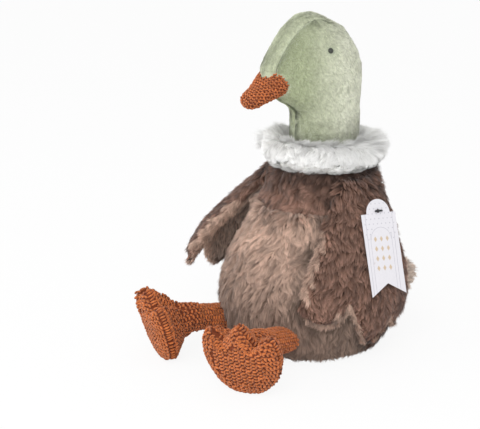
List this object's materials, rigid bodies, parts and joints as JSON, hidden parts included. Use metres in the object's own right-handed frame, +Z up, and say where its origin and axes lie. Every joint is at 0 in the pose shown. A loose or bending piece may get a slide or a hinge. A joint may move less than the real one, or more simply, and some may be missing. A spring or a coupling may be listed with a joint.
{
  "type": "plush duck",
  "caption": "Sitting plush duck with a flat base, long neck, white fur collar, scalloped wings, knitted bill, legs and webbed feet, a short tail and a card hang tag.",
  "frame": {"origin": "middle of the flat base, on the surface that the duck sits on", "axes": "+Z up; the duck faces -Y and its own left side is +X"},
  "size_m": [0.2389, 0.2935, 0.3141],
  "materials": {
    "taupe_belly_fur": "long brushed pile, matte",
    "dark_brown_fur": "long brushed pile, matte",
    "taupe_lining_fur": "brushed pile, matte",
    "white_collar_fur": "long white pile, matte",
    "sage_green_plush": "short dense pile, soft sheen",
    "rust_knit": "stocking stitch in matte yarn",
    "polyester_stuffing": "loose white fibre",
    "pellet_bag_cloth": "plain woven cloth",
    "dark_eye_bead": "polished",
    "white_tag_card": "coated card with a pale print",
    "dark_pin_plastic": "satin moulded plastic"
  },
  "bodies": {
    "torso": {"belly_panel": "taupe_belly_fur", "chest_panel": "dark_brown_fur", "back_panel_left": "dark_brown_fur", "back_panel_right": "dark_brown_fur", "base_panel": "taupe_belly_fur", "body_stuffing": "polyester_stuffing", "pellet_bag": "pellet_bag_cloth", "tail_cover": "taupe_lining_fur", "tail_stuffing": "polyester_stuffing"},
    "collar": {"neck_collar": "white_collar_fur"},
    "head": {"head_gusset": "sage_green_plush", "head_panel_left": "sage_green_plush", "head_panel_right": "sage_green_plush", "head_stuffing": "polyester_stuffing", "bill_cover": "rust_knit", "bill_stuffing": "polyester_stuffing", "eye_left": "dark_eye_bead", "eye_right": "dark_eye_bead"},
    "wing_left": {"wing_left_outer": "dark_brown_fur", "wing_left_lining": "taupe_lining_fur", "tag_fastener": "dark_pin_plastic"},
    "wing_right": {"wing_right_outer": "dark_brown_fur", "wing_right_lining": "taupe_lining_fur"},
    "leg_left": {"leg_left_cover": "rust_knit", "leg_left_stuffing": "polyester_stuffing"},
    "leg_right": {"leg_right_cover": "rust_knit", "leg_right_stuffing": "polyester_stuffing"},
    "foot_left": {"foot_left_upper": "rust_knit", "foot_left_sole": "rust_knit", "foot_left_stuffing": "polyester_stuffing"},
    "foot_right": {"foot_right_upper": "rust_knit", "foot_right_sole": "rust_knit", "foot_right_stuffing": "polyester_stuffing"},
    "tag": {"hang_tag": "white_tag_card"}
  },
  "joints": [
    {"name": "neck_turn", "type": "hinge", "parent": "torso", "child": "collar", "pos_m": [0, 0.015, 0.18463], "axis": [0, 0, 1], "range_deg": [-40, 40]},
    {"name": "neck_nod", "type": "hinge", "parent": "collar", "child": "head", "pos_m": [0, 0.015, 0.18463], "axis": [0.9781, -0.2079, 0], "range_deg": [-10, 15]},
    {"name": "wing_left_lift", "type": "hinge", "parent": "torso", "child": "wing_left", "pos_m": [0.04602, 0.01492, 0.166], "axis": [0, -1, 0], "range_deg": [0, 70]},
    {"name": "wing_right_lift", "type": "hinge", "parent": "torso", "child": "wing_right", "pos_m": [-0.04602, 0.01492, 0.166], "axis": [0, 1, 0], "range_deg": [-22, 46]},
    {"name": "hip_left_swing", "type": "hinge", "parent": "torso", "child": "leg_left", "pos_m": [0.04121, -0.07242, 0.028], "axis": [-0.8256, -0.5642, 0], "range_deg": [-45, 15]},
    {"name": "hip_right_swing", "type": "hinge", "parent": "torso", "child": "leg_right", "pos_m": [-0.04121, -0.07242, 0.028], "axis": [-0.8256, 0.5642, 0], "range_deg": [-45, 15]},
    {"name": "ankle_left_tilt", "type": "hinge", "parent": "leg_left", "child": "foot_left", "pos_m": [0.04675, -0.11185, 0.03542], "axis": [0.9205, 0.3907, 0], "range_deg": [-20, 20]},
    {"name": "ankle_right_tilt", "type": "hinge", "parent": "leg_right", "child": "foot_right", "pos_m": [-0.04537, -0.11202, 0.03542], "axis": [0.9205, -0.3907, 0], "range_deg": [-20, 20]},
    {"name": "tag_swing", "type": "hinge", "parent": "wing_left", "child": "tag", "pos_m": [0.07331, 0.0113, 0.14002], "axis": [0.9254, -0.1632, 0.342], "range_deg": [-25, 25]}
  ]
}
